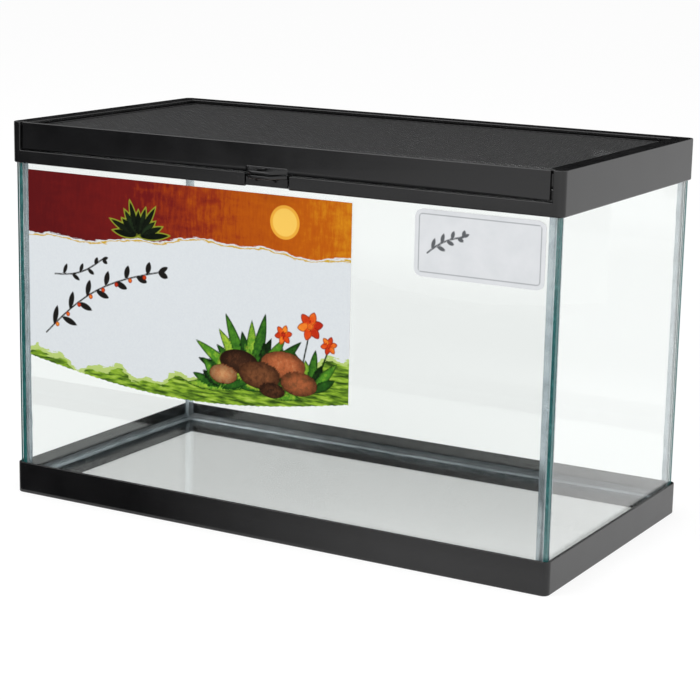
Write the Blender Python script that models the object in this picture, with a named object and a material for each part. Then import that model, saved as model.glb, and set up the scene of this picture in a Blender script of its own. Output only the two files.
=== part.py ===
"""Glass terrarium with a sliding screen lid and a lockable catch.

Metres, +Z up. The front faces -Y and +X is to the right of someone who stands in front of it.
The origin lies under the middle of the box that holds the whole object, on the surface it stands on.
"""
import math

import bmesh
import bpy
from mathutils import Matrix, Vector

# Overall sizes, over the two plastic frames
WIDTH = 0.411
DEPTH = 0.213
HEIGHT = 0.262
CORNER_RADIUS = 0.0045
CORNER_STEPS = 6
EDGE_ROUND = 0.0006
FIT_GAP = 0.0003

# Glass and the silicone that bonds it
GLASS = 0.0032
GLASS_CHAMFER = 0.0003
BED_THICKNESS = 0.0008
SEAL_LEG = 0.0046
SEAL_STEPS = 5

# Plastic walls of the two frames
SKIRT = 0.0022
INNER_SKIRT = 0.0014

# Base frame
BASE_HEIGHT = 0.022
LEDGE_TOP = 0.0056
LEDGE_THICKNESS = 0.0020
LEDGE_WIDTH = 0.0150
LEDGE_LEG = 0.0018
BASE_RIB = 0.0016
BASE_RIB_PITCH = 0.046

# Top frame
TOP_FRAME_HEIGHT = 0.0280
FRONT_RAIL_HEIGHT = 0.0088
FRONT_WEB = 0.0018
GUIDE_REACH = 0.0050
LIP_THICKNESS = 0.0022
SHELF_THICKNESS = 0.0018

# Openings in the back wall for cords and drinking tubes, and the thin panels that break out
CORD_SLOT_WIDTH = 0.022
CORD_SLOT_HEIGHT = 0.0062
CORD_SLOT_INSET = 0.062
BREAKOUT_WIDTH = 0.018
BREAKOUT_SPACING = 0.090
BREAKOUT_SKIN = 0.0010
BREAKOUT_GROOVE = 0.0009

# Sliding lid
LID_SIDE_CLEARANCE = 0.0005
LID_RAIL_WIDTH = 0.0120
LID_RAIL_HEIGHT = 0.0074
LID_WALL = 0.0010
LID_HOLLOW_WIDTH = 0.0052

# Spline groove and screen
SPLINE_RADIUS = 0.0012
SPLINE_SIDES = 10
SPLINE_CLEARANCE = 0.0003
SPLINE_DEPTH = 0.0034
SPLINE_LAND = 0.0018
SCREEN_THICKNESS = 0.0006
SCREEN_BAR = 0.0012
SCREEN_COLUMNS = 20
SCREEN_ROWS = 10

# Front rail of the lid
FASCIA_THICKNESS = 0.0024
FASCIA_SIDE_GAP = 0.0017
FASCIA_FOOT_GAP = 0.0010
FLANGE_DEPTH = 0.0060
FLANGE_THICKNESS = 0.0018
FASCIA_RIB = 0.0014
FASCIA_RIB_PITCH = 0.043
KEEPER_WIDTH = 0.0200
KEEPER_DEPTH = 0.0008

# Keys inside the lid's rails
KEY_CLEARANCE = 0.0003
KEY_LEG = 0.024
KEY_SOCKET = 0.008

# Eye plates of the lid and of the catch
PLATE_REACH = 0.0105
PLATE_ROOT_WIDTH = 0.031
PLATE_TIP_WIDTH = 0.0135
PLATE_TIP_RADIUS = 0.0020
PLATE_EDGE_ROUND = 0.0006
EYE_RADIUS = 0.0035
EYE_SETBACK = 0.0050
EYE_STEPS = 24
LID_PLATE_TIP = 0.0019
LID_PLATE_ROOT = 0.0034
CATCH_PLATE = 0.0023

# Catch
CATCH_SIDE_GAP = 0.0010
CATCH_RECESS = 0.0003
CATCH_LEG = 0.0011
CATCH_LEG_LIFT = 0.0009
CATCH_BRIDGE = 0.0014
CATCH_PROUD = 0.0003
TOOTH_HEIGHT = 0.0006
TOOTH_WIDTH = 0.0160
TOOTH_DEPTH = 0.0016
TOOTH_SETBACK = 0.0022
GUSSET = 0.0014
GUSSET_DROP = 0.0024
GUSSET_REACH = 0.0060
GUSSET_SPACING = 0.0140

# Printed label and size sticker on the front pane
LABEL_THICKNESS = 0.0003
LABEL_WIDTH = 0.255
LABEL_HEIGHT = 0.130
LABEL_SIDE_GAP = 0.0125
LABEL_DROP = 0.0040
LABEL_SAG = 0.0140
LABEL_STEPS = 24
STICKER_WIDTH = 0.088
STICKER_HEIGHT = 0.042
STICKER_SIDE_GAP = 0.0110
STICKER_DROP = 0.0028
STICKER_CORNER = 0.0050

# Values that follow from the ones above
GLASS_INSET = SKIRT + FIT_GAP
GLASS_WIDTH = WIDTH - 2 * GLASS_INSET
GLASS_DEPTH = DEPTH - 2 * GLASS_INSET
GLASS_BOTTOM = LEDGE_TOP + BED_THICKNESS + 2 * FIT_GAP
FLOOR_TOP = GLASS_BOTTOM + GLASS
FRONT_RAIL_BOTTOM = HEIGHT - TOP_FRAME_HEIGHT
FRONT_RAIL_TOP = FRONT_RAIL_BOTTOM + FRONT_RAIL_HEIGHT
SEAT_HEIGHT = FRONT_RAIL_TOP - FRONT_WEB
GLASS_TOP = SEAT_HEIGHT - BED_THICKNESS - 2 * FIT_GAP
CHANNEL_INNER = GLASS_INSET + GLASS + FIT_GAP
WALL_INNER_X = WIDTH / 2 - CHANNEL_INNER - INNER_SKIRT
WALL_INNER_Y = DEPTH / 2 - CHANNEL_INNER - INNER_SKIRT
LIP_BOTTOM = HEIGHT - LIP_THICKNESS
LID_TOP = LIP_BOTTOM - FIT_GAP
LID_BOTTOM = LID_TOP - LID_RAIL_HEIGHT
SHELF_TOP = LID_BOTTOM - FIT_GAP
SHELF_BOTTOM = SHELF_TOP - SHELF_THICKNESS
LID_HALF_WIDTH = WALL_INNER_X - LID_SIDE_CLEARANCE
LID_BACK = WALL_INNER_Y - LID_SIDE_CLEARANCE
FRONT = -DEPTH / 2
BEAM_BACK = FRONT + FASCIA_THICKNESS + LID_RAIL_WIDTH
FASCIA_HALF_WIDTH = WALL_INNER_X - FASCIA_SIDE_GAP
FASCIA_BOTTOM = FRONT_RAIL_TOP + FASCIA_FOOT_GAP
GROOVE_WIDTH = 2 * (SPLINE_RADIUS + SPLINE_CLEARANCE)
GROOVE_INNER = LID_RAIL_WIDTH - SPLINE_LAND
GROOVE_OUTER = GROOVE_INNER - GROOVE_WIDTH
LAND_DROP = SCREEN_THICKNESS + FIT_GAP
CATCH_PIVOT_Y = FRONT + CHANNEL_INNER
CATCH_PIVOT_Z = FRONT_RAIL_TOP - CATCH_BRIDGE / 2
CATCH_TOP = FRONT_RAIL_TOP + CATCH_PROUD
MITRE_PULL = FIT_GAP / math.sqrt(2)
LABEL_CENTRE_X = LABEL_SIDE_GAP + LABEL_WIDTH / 2 - WIDTH / 2
STICKER_CENTRE_X = WIDTH / 2 - STICKER_WIDTH / 2 - STICKER_SIDE_GAP

# Cutters reach past the faces that they cut by OVERSHOOT, points closer than NEAR count as one place,
# and the radius of a round end is this share of a full half circle's
OVERSHOOT = 0.002
NEAR = 0.00003
ROUND_END_RATIO = 0.98


def clear_scene():
    """Remove every object that the file starts with."""
    for scene_object in list(bpy.data.objects):
        bpy.data.objects.remove(scene_object, do_unlink=True)


def make_material(name, colour, roughness, metallic=0.0, transmission=0.0, alpha=1.0):
    """A Principled material; colour is linear red, green and blue."""
    material = bpy.data.materials.new(name)
    material.use_nodes = True
    shader = material.node_tree.nodes["Principled BSDF"]
    shader.inputs["Base Color"].default_value = (*colour, 1.0)
    shader.inputs["Roughness"].default_value = roughness
    shader.inputs["Metallic"].default_value = metallic
    shader.inputs["Transmission Weight"].default_value = transmission
    shader.inputs["Alpha"].default_value = alpha
    return material


def object_from_bmesh(name, bm):
    """Turn a bmesh into a scene object with its faces pointing out."""
    bmesh.ops.recalc_face_normals(bm, faces=bm.faces)
    mesh = bpy.data.meshes.new(name)
    bm.to_mesh(mesh)
    bm.free()
    new_object = bpy.data.objects.new(name, mesh)
    bpy.context.collection.objects.link(new_object)
    return new_object


def extrude_outline(name, outline, start, end, axis="Z"):
    """A solid with the given outline, swept from start to end along an axis.

    The outline is in (x, y) for Z, in (y, z) for X and in (x, z) for Y.
    """
    place = {
        "X": lambda a, b, along: (along, a, b),
        "Y": lambda a, b, along: (a, along, b),
        "Z": lambda a, b, along: (a, b, along),
    }[axis]
    bm = bmesh.new()
    corners = [bm.verts.new(place(a, b, start)) for a, b in outline]
    face = bm.faces.new(corners)
    swept = bmesh.ops.extrude_face_region(bm, geom=[face])
    moved = [item for item in swept["geom"] if isinstance(item, bmesh.types.BMVert)]
    bmesh.ops.translate(bm, verts=moved, vec=Vector(place(0, 0, end - start)))
    return object_from_bmesh(name, bm)


def box(name, low, high):
    """A plain box between two corners."""
    bm = bmesh.new()
    bmesh.ops.create_cube(bm, size=1.0)
    size = Vector(high) - Vector(low)
    centre = (Vector(high) + Vector(low)) / 2
    bmesh.ops.scale(bm, vec=size, verts=bm.verts)
    bmesh.ops.translate(bm, vec=centre, verts=bm.verts)
    return object_from_bmesh(name, bm)


def rounded_rectangle(width, height, radius, steps, centre=(0.0, 0.0)):
    """Corner points of a rectangle whose four corners are arcs."""
    quarter = math.pi / 2
    corner_centres = (
        (width / 2 - radius, height / 2 - radius),
        (-width / 2 + radius, height / 2 - radius),
        (-width / 2 + radius, -height / 2 + radius),
        (width / 2 - radius, -height / 2 + radius),
    )
    points = []
    for corner, (corner_x, corner_y) in enumerate(corner_centres):
        for step in range(steps + 1):
            angle = quarter * (corner + step / steps)
            x = centre[0] + corner_x + radius * math.cos(angle)
            y = centre[1] + corner_y + radius * math.sin(angle)
            points.append((x, y))
    return points


def circle(radius, steps, centre):
    """Points of a circle round a centre."""
    turn = 2 * math.pi / steps
    return [
        (centre[0] + radius * math.cos(turn * step), centre[1] + radius * math.sin(turn * step))
        for step in range(steps)
    ]


def combine(target, tool, operation):
    """Join or cut one solid with another, and use the other one up."""
    modifier = target.modifiers.new(operation.title(), "BOOLEAN")
    modifier.operation = operation
    modifier.solver = "EXACT"
    modifier.object = tool
    evaluated = target.evaluated_get(bpy.context.evaluated_depsgraph_get())
    result = bpy.data.meshes.new_from_object(evaluated)
    target.modifiers.clear()
    target.data = result
    bpy.data.objects.remove(tool, do_unlink=True)


def cut(target, tool):
    combine(target, tool, "DIFFERENCE")


def join(target, tool):
    combine(target, tool, "UNION")


def round_edges(target, width, choose, segments=2):
    """Bevel the edges for which choose(edge) is true."""
    bm = bmesh.new()
    bm.from_mesh(target.data)
    edges = [edge for edge in bm.edges if choose(edge)]
    bmesh.ops.bevel(bm, geom=edges, offset=width, segments=segments, profile=0.5, affect="EDGES")
    bm.to_mesh(target.data)
    bm.free()


def edge_at_height(height):
    """A chooser of the level edges that lie at one height."""
    def choose(edge):
        return all(abs(vert.co.z - height) < NEAR for vert in edge.verts)
    return choose


def finish(target, material, parent, smooth_angle=None):
    """Give a sub-part its material and its parent, and shade its round faces smooth."""
    target.data.materials.clear()
    target.data.materials.append(material)
    target.parent = parent
    if smooth_angle is not None:
        target.data.shade_smooth()
        target.data.set_sharp_from_angle(angle=smooth_angle)
    return target


def rectangular_ring(name, half_outer, half_inner, bottom, top):
    """A flat ring with square corners, from half sizes in X and Y."""
    ring = box(name, (-half_outer[0], -half_outer[1], bottom), (half_outer[0], half_outer[1], top))
    well_bottom = bottom - OVERSHOOT
    well_top = top + OVERSHOOT
    well_low = (-half_inner[0], -half_inner[1], well_bottom)
    well_high = (half_inner[0], half_inner[1], well_top)
    cut(ring, box("ring_well", well_low, well_high))
    return ring


def frame_block(name, bottom, top):
    """The outer block of a moulded frame, with rounded corners and softened rims."""
    outline = rounded_rectangle(WIDTH, DEPTH, CORNER_RADIUS, CORNER_STEPS)
    block = extrude_outline(name, outline, bottom, top)
    round_edges(block, EDGE_ROUND, edge_at_height(top))
    round_edges(block, EDGE_ROUND, edge_at_height(bottom), segments=1)
    return block


def pocket_spans(length, pitch, rib):
    """Start and end of the pockets that ribs leave along a length, centred on zero."""
    count = max(1, round(length / pitch))
    step = length / count
    spans = []
    for index in range(count):
        start = -length / 2 + index * step
        spans.append((start + rib / 2, start + step - rib / 2))
    return spans


def build_base_frame():
    """The foot: a skirt round the glass, a ledge under its edges, and ribs below the ledge."""
    frame = frame_block("base_frame", 0.0, BASE_HEIGHT)
    seat_x = WIDTH / 2 - SKIRT
    seat_y = DEPTH / 2 - SKIRT
    cut(frame, box("seat", (-seat_x, -seat_y, LEDGE_TOP), (seat_x, seat_y, BASE_HEIGHT + OVERSHOOT)))
    hole_x = WIDTH / 2 - LEDGE_WIDTH
    hole_y = DEPTH / 2 - LEDGE_WIDTH
    cut(frame, box("floor_hole", (-hole_x, -hole_y, -OVERSHOOT), (hole_x, hole_y, LEDGE_TOP + OVERSHOOT)))
    pocket_top = LEDGE_TOP - LEDGE_THICKNESS
    leg_x = hole_x + LEDGE_LEG
    leg_y = hole_y + LEDGE_LEG
    for start, end in pocket_spans(2 * hole_x, BASE_RIB_PITCH, BASE_RIB):
        for low_y, high_y in ((-seat_y, -leg_y), (leg_y, seat_y)):
            cut(frame, box("pocket", (start, low_y, -OVERSHOOT), (end, high_y, pocket_top)))
    for start, end in pocket_spans(2 * hole_y, BASE_RIB_PITCH, BASE_RIB):
        for low_x, high_x in ((-seat_x, -leg_x), (leg_x, seat_x)):
            cut(frame, box("pocket", (low_x, start, -OVERSHOOT), (high_x, end, pocket_top)))
    return frame


def build_pane(name, low, high):
    """One sheet of glass with ground edges."""
    pane = box(name, low, high)
    round_edges(pane, GLASS_CHAMFER, lambda edge: True, segments=1)
    return pane


def build_glass():
    """The four walls, and the floor between them."""
    outer_x = GLASS_WIDTH / 2
    outer_y = GLASS_DEPTH / 2
    inner_y = outer_y - GLASS
    side_y = inner_y - FIT_GAP
    floor_x = outer_x - GLASS - FIT_GAP
    bottom = GLASS_BOTTOM
    top = GLASS_TOP
    return [
        build_pane("front_pane", (-outer_x, -outer_y, bottom), (outer_x, -inner_y, top)),
        build_pane("back_pane", (-outer_x, inner_y, bottom), (outer_x, outer_y, top)),
        build_pane("left_pane", (-outer_x, -side_y, bottom), (-outer_x + GLASS, side_y, top)),
        build_pane("right_pane", (outer_x - GLASS, -side_y, bottom), (outer_x, side_y, top)),
        build_pane("bottom_pane", (-floor_x, -side_y, bottom), (floor_x, side_y, FLOOR_TOP)),
    ]


def fillet_outline(leg, direction_a, direction_b):
    """The hollow triangle of a finger-smoothed silicone seal in a corner at the origin."""
    points = [(0.0, 0.0), (leg * direction_a, 0.0)]
    for step in range(1, SEAL_STEPS):
        angle = math.pi / 2 * step / SEAL_STEPS
        along_a = leg * (1 - math.sin(angle))
        along_b = leg * (1 - math.cos(angle))
        points.append((along_a * direction_a, along_b * direction_b))
    points.append((0.0, leg * direction_b))
    return points


def shifted(outline, offset_a, offset_b):
    return [(a + offset_a, b + offset_b) for a, b in outline]


def build_seals():
    """Upright seals in the four corners and level ones round the floor, clear of each other."""
    inside_x = GLASS_WIDTH / 2 - GLASS - FIT_GAP
    inside_y = GLASS_DEPTH / 2 - GLASS - FIT_GAP
    bottom = FLOOR_TOP + FIT_GAP
    top = FRONT_RAIL_BOTTOM - FIT_GAP
    seals = []
    for side_y, word_y in ((-1, "front"), (1, "back")):
        for side_x, word_x in ((-1, "left"), (1, "right")):
            outline = fillet_outline(SEAL_LEG, -side_x, -side_y)
            placed = shifted(outline, side_x * inside_x, side_y * inside_y)
            seals.append(extrude_outline(f"corner_seal_{word_y}_{word_x}", placed, bottom, top))
    end_gap = SEAL_LEG + FIT_GAP
    end_x = inside_x - end_gap
    end_y = inside_y - end_gap
    for side, word in ((-1, "front"), (1, "back")):
        outline = shifted(fillet_outline(SEAL_LEG, -side, 1), side * inside_y, bottom)
        seals.append(extrude_outline(f"floor_seal_{word}", outline, -end_x, end_x, axis="X"))
    for side, word in ((-1, "left"), (1, "right")):
        outline = shifted(fillet_outline(SEAL_LEG, -side, 1), side * inside_x, bottom)
        seals.append(extrude_outline(f"floor_seal_{word}", outline, -end_y, end_y, axis="Y"))
    return seals


def build_bed(name, bottom):
    """A level bed of silicone on or under the edges of the four walls."""
    outer = (GLASS_WIDTH / 2, GLASS_DEPTH / 2)
    inner = (outer[0] - GLASS, outer[1] - GLASS)
    return rectangular_ring(name, outer, inner, bottom, bottom + BED_THICKNESS)


def cut_glass_channel(frame):
    """The slot in the underside that drops over the upper edges of the glass."""
    outer = (WIDTH / 2 - SKIRT, DEPTH / 2 - SKIRT)
    inner = (WIDTH / 2 - CHANNEL_INNER, DEPTH / 2 - CHANNEL_INNER)
    channel_bottom = FRONT_RAIL_BOTTOM - OVERSHOOT
    cut(frame, rectangular_ring("channel", outer, inner, channel_bottom, SEAT_HEIGHT))


def cut_lid_bay(frame):
    """The way in for the lid: the well, the grooves in three walls and the low front."""
    wall_x = WALL_INNER_X
    wall_y = WALL_INNER_Y
    guide_x = wall_x - GUIDE_REACH
    guide_y = wall_y - GUIDE_REACH
    ahead = FRONT - OVERSHOOT
    above = HEIGHT + OVERSHOOT
    mouth_back = FRONT + FASCIA_THICKNESS + 2 * FIT_GAP
    well_bottom = FRONT_RAIL_BOTTOM - OVERSHOOT
    cut(frame, box("well", (-wall_x, -wall_y, well_bottom), (wall_x, wall_y, SHELF_BOTTOM)))
    cut(frame, box("throat", (-guide_x, ahead, FRONT_RAIL_TOP), (guide_x, guide_y, above)))
    cut(frame, box("groove", (-wall_x, ahead, SHELF_TOP), (wall_x, wall_y, LIP_BOTTOM)))
    cut(frame, box("mouth", (-wall_x, ahead, FRONT_RAIL_TOP), (wall_x, mouth_back, above)))
    cut(frame, box("passage", (-wall_x, ahead, FRONT_RAIL_TOP), (wall_x, OVERSHOOT - wall_y, SHELF_BOTTOM)))
    soften_mouth(frame)


def soften_mouth(frame):
    """Round the front edges of the low rail and of the two posts beside the lid."""
    def mouth_edge(edge):
        on_front = all(abs(vert.co.y - FRONT) < NEAR for vert in edge.verts)
        on_rail = all(abs(vert.co.z - FRONT_RAIL_TOP) < NEAR for vert in edge.verts)
        on_post = all(abs(abs(vert.co.x) - WALL_INNER_X) < NEAR for vert in edge.verts)
        return on_front and (on_rail or on_post)

    round_edges(frame, EDGE_ROUND, mouth_edge)


def cut_catch_slot(frame):
    """The slot in the front rail that the catch hangs in, open to the top and to the front."""
    half = PLATE_ROOT_WIDTH / 2 + CATCH_SIDE_GAP
    low = (-half, FRONT - OVERSHOOT, FRONT_RAIL_BOTTOM - OVERSHOOT)
    high = (half, CATCH_PIVOT_Y, FRONT_RAIL_TOP + OVERSHOOT)
    cut(frame, box("catch_slot", low, high))


def back_wall_opening(name, width, height, centre_x, start, end):
    """A round-ended bar through the back wall, between the glass and the shelf."""
    middle = (FRONT_RAIL_TOP + SHELF_BOTTOM) / 2
    outline = rounded_rectangle(width, height, height / 2 * ROUND_END_RATIO, CORNER_STEPS, (centre_x, middle))
    return extrude_outline(name, outline, start, end, axis="Y")


def cut_back_openings(frame):
    """Two open cord slots near the corners, and two thin panels between them that break out."""
    inside = WALL_INNER_Y - OVERSHOOT
    outside = DEPTH / 2 + OVERSHOOT
    panel_inside = DEPTH / 2 - BREAKOUT_SKIN - BREAKOUT_GROOVE
    groove_floor = DEPTH / 2 - BREAKOUT_GROOVE
    tongue_width = BREAKOUT_WIDTH - 2 * BREAKOUT_GROOVE
    tongue_height = CORD_SLOT_HEIGHT - 2 * BREAKOUT_GROOVE
    beyond = outside + OVERSHOOT
    for side in (-1, 1):
        cord_x = side * (WIDTH / 2 - CORD_SLOT_INSET)
        cut(frame, back_wall_opening("cord", CORD_SLOT_WIDTH, CORD_SLOT_HEIGHT, cord_x, inside, outside))
        panel_x = side * BREAKOUT_SPACING / 2
        size = (BREAKOUT_WIDTH, CORD_SLOT_HEIGHT, panel_x)
        cut(frame, back_wall_opening("pocket", *size, inside, panel_inside))
        groove = back_wall_opening("groove", *size, groove_floor, outside)
        cut(groove, back_wall_opening("tongue", tongue_width, tongue_height, panel_x, inside, beyond))
        cut(frame, groove)


def build_top_frame():
    """The top frame: a channel over the glass, guide grooves for the lid and a low front rail."""
    frame = frame_block("top_frame", FRONT_RAIL_BOTTOM, HEIGHT)
    cut_glass_channel(frame)
    cut_lid_bay(frame)
    cut_catch_slot(frame)
    cut_back_openings(frame)
    return frame


def plate_outline(root_y):
    """Plan of an eye plate: as wide as the catch at its root and narrow at its rounded tip."""
    half_root = PLATE_ROOT_WIDTH / 2
    half_tip = PLATE_TIP_WIDTH / 2
    tip = FRONT - PLATE_REACH
    return [(-half_root, root_y), (-half_root, FRONT), (-half_tip, tip),
            (half_tip, tip), (half_root, FRONT), (half_root, root_y)]


def build_eye_plate(name, root_y, bottom, tip_thickness, root_thickness):
    """A projecting plate with a padlock eye; its top may slope down to the tip."""
    plate = extrude_outline(name, plate_outline(root_y), bottom, bottom + root_thickness)
    tip = FRONT - PLATE_REACH
    slope = (root_thickness - tip_thickness) / PLATE_REACH
    for vert in plate.data.vertices:
        if vert.co.z > bottom + root_thickness / 2:
            vert.co.z = bottom + tip_thickness + slope * (vert.co.y - tip)

    def tip_corner(edge):
        first, second = (vert.co for vert in edge.verts)
        return (first.xy - second.xy).length < NEAR and first.y < tip + NEAR

    def rim(edge):
        ahead = all(vert.co.y < FRONT + NEAR for vert in edge.verts)
        first, second = (vert.co for vert in edge.verts)
        return ahead and (first.xy - second.xy).length > NEAR

    round_edges(plate, PLATE_TIP_RADIUS, tip_corner, segments=4)
    round_edges(plate, PLATE_EDGE_ROUND, rim)
    eye = circle(EYE_RADIUS, EYE_STEPS, (0.0, FRONT - EYE_SETBACK))
    cut(plate, extrude_outline("eye", eye, bottom - OVERSHOOT, bottom + root_thickness + OVERSHOOT))
    return plate


def build_catch():
    """The catch: a leg in front of the glass, a bridge over its edge, a tooth and an eye plate."""
    half = PLATE_ROOT_WIDTH / 2
    leg_front = FRONT + CATCH_RECESS
    leg_back = leg_front + CATCH_LEG
    bridge_bottom = FRONT_RAIL_TOP - CATCH_BRIDGE
    bridge_back = CATCH_PIVOT_Y - FIT_GAP
    leg_bottom = FRONT_RAIL_BOTTOM + CATCH_LEG_LIFT
    outline = [(leg_front, leg_bottom), (leg_back, leg_bottom), (leg_back, bridge_bottom),
               (bridge_back, bridge_bottom), (bridge_back, FRONT_RAIL_TOP), (leg_front, FRONT_RAIL_TOP)]
    catch = extrude_outline("catch", outline, -half, half, axis="X")
    plate_bottom = CATCH_TOP - CATCH_PLATE
    plate = build_eye_plate("plate", leg_front + CATCH_LEG / 2, plate_bottom, CATCH_PLATE, CATCH_PLATE)
    join(catch, plate)
    tooth_front = FRONT + TOOTH_SETBACK
    tooth_back = tooth_front + TOOTH_DEPTH
    tooth_base = FRONT_RAIL_TOP - CATCH_BRIDGE / 2
    tooth_top = FRONT_RAIL_TOP + TOOTH_HEIGHT
    tooth = [(tooth_front, tooth_base), (tooth_back, tooth_base), (tooth_back, tooth_top),
             (tooth_back - TOOTH_DEPTH / 3, tooth_top), (tooth_front, FRONT_RAIL_TOP)]
    join(catch, extrude_outline("tooth", tooth, -TOOTH_WIDTH / 2, TOOTH_WIDTH / 2, axis="X"))
    overlap = CATCH_LEG / 2
    gusset = [(leg_front + overlap, plate_bottom + overlap), (FRONT - GUSSET_REACH, plate_bottom + overlap),
              (FRONT - GUSSET_REACH, plate_bottom), (leg_front, plate_bottom - GUSSET_DROP),
              (leg_front + overlap, plate_bottom - GUSSET_DROP)]
    for side in (-1, 1):
        middle = side * GUSSET_SPACING / 2
        join(catch, extrude_outline("gusset", gusset, middle - GUSSET / 2, middle + GUSSET / 2, axis="X"))
    return catch


def key_span():
    """Where a key lies across a hollow rail, measured in from the rail's outer face."""
    return LID_WALL + KEY_CLEARANCE, LID_WALL + LID_HOLLOW_WIDTH - KEY_CLEARANCE


def cut_beam_grooves(rail):
    """The spline groove round the front rail's beam, its stubs to the side rails and the screen's land."""
    beam_front = FRONT + FASCIA_THICKNESS
    groove_front = beam_front + GROOVE_OUTER
    groove_back = beam_front + GROOVE_INNER
    groove_x = LID_HALF_WIDTH - GROOVE_OUTER
    land_x = LID_HALF_WIDTH - GROOVE_INNER
    above = LID_TOP + OVERSHOOT
    behind = BEAM_BACK + OVERSHOOT
    floor = LID_TOP - SPLINE_DEPTH
    cut(rail, box("spline_groove", (-groove_x, groove_front, floor), (groove_x, groove_back, above)))
    for side in (-1, 1):
        low_x, high_x = sorted((side * groove_x, side * land_x))
        cut(rail, box("groove_stub", (low_x, groove_front, floor), (high_x, behind, above)))
    land_low = (-land_x, groove_back - FIT_GAP, LID_TOP - LAND_DROP)
    cut(rail, box("land", land_low, (land_x, behind, above)))


def build_lid_front_rail():
    """The lid's moulded front rail: the fascia, the beam behind it, a ribbed foot and the eye plate."""
    inside = FRONT + FASCIA_THICKNESS
    half = FASCIA_HALF_WIDTH
    rail = box("lid_front_rail", (-half, FRONT, FASCIA_BOTTOM), (half, inside, HEIGHT))
    round_edges(rail, EDGE_ROUND, lambda edge: all(vert.co.y < FRONT + FIT_GAP for vert in edge.verts))
    rooted = FRONT + FASCIA_THICKNESS / 2
    beam_low = (-LID_HALF_WIDTH, inside - FIT_GAP, LID_BOTTOM)
    join(rail, box("beam", beam_low, (LID_HALF_WIDTH, BEAM_BACK, LID_TOP)))
    foot_back = inside + FLANGE_DEPTH
    foot_top = FASCIA_BOTTOM + FLANGE_THICKNESS
    foot_half = half - FASCIA_THICKNESS
    join(rail, box("foot", (-foot_half, rooted, FASCIA_BOTTOM), (foot_half, foot_back, foot_top)))
    rib_count = 2 * round(foot_half / FASCIA_RIB_PITCH)
    rib_span = 2 * (WALL_INNER_X - GUIDE_REACH - 2 * FASCIA_RIB)
    for index in range(rib_count + 1):
        middle = rib_span * (index / rib_count - 1 / 2)
        low = (middle - FASCIA_RIB / 2, rooted, foot_top - FLANGE_THICKNESS / 2)
        high = (middle + FASCIA_RIB / 2, foot_back - FIT_GAP, LID_BOTTOM + LID_WALL)
        join(rail, box("rib", low, high))
    join(rail, build_eye_plate("lid_plate", rooted, FASCIA_BOTTOM, LID_PLATE_TIP, LID_PLATE_ROOT))
    keeper_low = (-KEEPER_WIDTH / 2, FRONT + TOOTH_SETBACK - FIT_GAP, FASCIA_BOTTOM - OVERSHOOT)
    keeper_back = FRONT + TOOTH_SETBACK + TOOTH_DEPTH + FIT_GAP
    cut(rail, box("keeper", keeper_low, (KEEPER_WIDTH / 2, keeper_back, FASCIA_BOTTOM + KEEPER_DEPTH)))
    cut_beam_grooves(rail)
    socket_front = BEAM_BACK - KEY_SOCKET
    for side in (-1, 1):
        faces = (side * (LID_HALF_WIDTH - LID_WALL), side * (LID_HALF_WIDTH - LID_WALL - LID_HOLLOW_WIDTH))
        low = (min(faces), socket_front, LID_BOTTOM + LID_WALL)
        high = (max(faces), BEAM_BACK + OVERSHOOT, LID_TOP - LID_WALL)
        cut(rail, box("socket", low, high))
    return rail


def build_hollow_rail(name, start, end, mitre_start, mitre_end):
    """A hollow rail along X whose outer face is at y = 0; a mitred end is cut at 45 degrees."""
    land_top = LID_RAIL_HEIGHT - LAND_DROP
    groove_floor = LID_RAIL_HEIGHT - SPLINE_DEPTH
    outline = [(0.0, 0.0), (LID_RAIL_WIDTH, 0.0), (LID_RAIL_WIDTH, land_top), (GROOVE_INNER, land_top),
               (GROOVE_INNER, groove_floor), (GROOVE_OUTER, groove_floor),
               (GROOVE_OUTER, LID_RAIL_HEIGHT), (0.0, LID_RAIL_HEIGHT)]
    rail = extrude_outline(name, outline, start, end, axis="X")
    hollow_low = (start - OVERSHOOT, LID_WALL, LID_WALL)
    hollow_high = (end + OVERSHOOT, LID_WALL + LID_HOLLOW_WIDTH, LID_RAIL_HEIGHT - LID_WALL)
    cut(rail, box("hollow", hollow_low, hollow_high))
    middle = (start + end) / 2
    for vert in rail.data.vertices:
        if vert.co.x < middle and mitre_start:
            vert.co.x += vert.co.y + MITRE_PULL
        if vert.co.x > middle and mitre_end:
            vert.co.x -= vert.co.y + MITRE_PULL
    return rail


def turn_and_place(target, angle, offset):
    """Turn a mesh about Z and move it, in the mesh itself."""
    target.data.transform(Matrix.Translation(Vector(offset)) @ Matrix.Rotation(angle, 4, "Z"))
    return target


def build_lid_rails():
    """Two side rails and a rear rail, mitred at the rear and square at the front."""
    half = LID_HALF_WIDTH
    front = BEAM_BACK + FIT_GAP
    rear = build_hollow_rail("lid_rear_rail", -half, half, True, True)
    turn_and_place(rear, math.pi, (0.0, LID_BACK, LID_BOTTOM))
    right = build_hollow_rail("lid_right_rail", front, LID_BACK, False, True)
    turn_and_place(right, math.pi / 2, (half, 0.0, LID_BOTTOM))
    left = build_hollow_rail("lid_left_rail", -LID_BACK, -front, True, False)
    turn_and_place(left, -math.pi / 2, (-half, 0.0, LID_BOTTOM))
    return [rear, right, left]


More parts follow.
